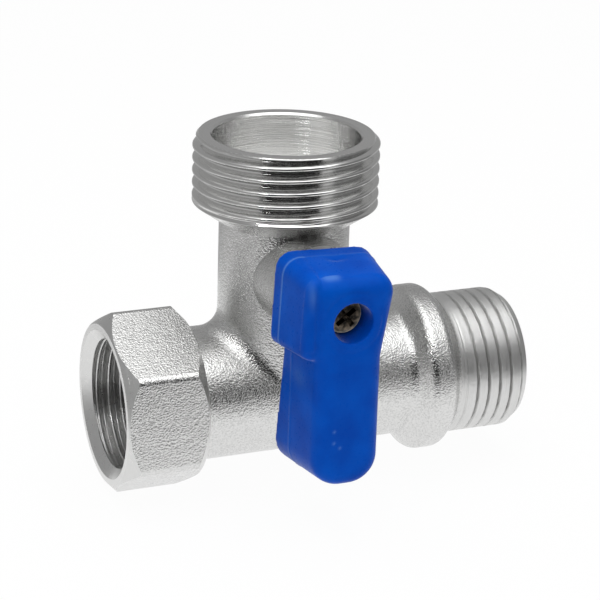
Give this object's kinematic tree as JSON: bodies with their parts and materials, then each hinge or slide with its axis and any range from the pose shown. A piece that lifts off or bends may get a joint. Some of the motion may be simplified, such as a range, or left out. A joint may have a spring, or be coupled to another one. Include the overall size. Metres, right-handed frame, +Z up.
{
  "type": "washing machine valve",
  "caption": "Plated brass tee valve with a swivel union nut, a male run outlet and a male branch, shut off by a ball valve with a blue plastic lever.",
  "frame": {"origin": "on the run's axis, where the thread of the union nut starts behind its countersunk mouth", "axes": "+X along the run from the union nut to the male outlet, +Z up the branch, the lever faces -Y"},
  "size_m": [0.0625, 0.039, 0.0512],
  "materials": {
    "nickel_plated_brass": "nickel-plated, sand-blasted forging with turned threads and faces",
    "bare_brass": "turned, unplated",
    "polished_chrome": "polished",
    "white_ptfe": "smooth, waxy",
    "black_rubber": "matt",
    "blue_plastic": "moulded, half gloss",
    "dark_steel": "blackened"
  },
  "bodies": {
    "valve": {"valve_body": "nickel_plated_brass", "inner_seat": "white_ptfe", "outer_seat": "white_ptfe", "seat_retainer": "nickel_plated_brass", "stem_thrust_washer": "white_ptfe", "union_gasket": "black_rubber"},
    "lever": {"handle": "blue_plastic", "handle_screw": "dark_steel", "stem": "bare_brass", "ball": "polished_chrome", "stem_o_ring_inner": "black_rubber", "stem_o_ring_outer": "black_rubber"},
    "swivel_nut": {"union_nut": "nickel_plated_brass"}
  },
  "joints": [
    {"name": "lever_turn", "type": "hinge", "parent": "valve", "child": "lever", "pos_m": [0.0257, 0, 0.0186], "axis": [0, -1, 0], "range_deg": [0, 90]},
    {"name": "nut_swivel", "type": "hinge", "parent": "valve", "child": "swivel_nut", "pos_m": [0, 0, 0], "axis": [1, 0, 0], "continuous": true}
  ]
}
